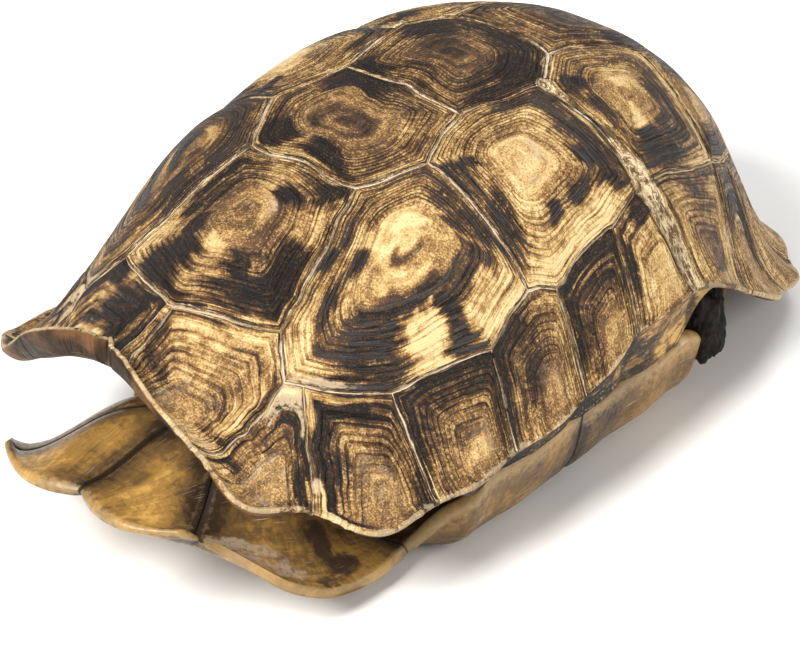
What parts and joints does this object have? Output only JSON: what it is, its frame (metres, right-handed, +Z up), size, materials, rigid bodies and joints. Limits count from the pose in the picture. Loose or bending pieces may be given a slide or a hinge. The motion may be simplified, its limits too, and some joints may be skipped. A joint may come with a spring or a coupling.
{
  "type": "tortoise shell",
  "caption": "Dried shell of a land tortoise: a domed upper shell with a flared rim, joined at its bridges to a flat-bottomed lower shell with upturned front tips; open for head, legs and tail.",
  "frame": {"origin": "middle of the shell's width and length, on the plane that its flat lower shell rests on", "axes": "+Z up, the head end faces -Y, the animal's left side is +X"},
  "size_m": [0.1226, 0.2011, 0.0797],
  "materials": {
    "upper_shell": "worn horn scutes with fine growth rings, straw yellow with dark brown and black blotches, satin",
    "lower_shell": "smooth honey-amber horn, slightly translucent, scratched, with a soft gloss",
    "crust": "black, cracked crust of dried tissue"
  },
  "bodies": {
    "root": {"carapace": "upper_shell", "plastron": "lower_shell", "dried_tissue": "crust"}
  },
  "joints": []
}
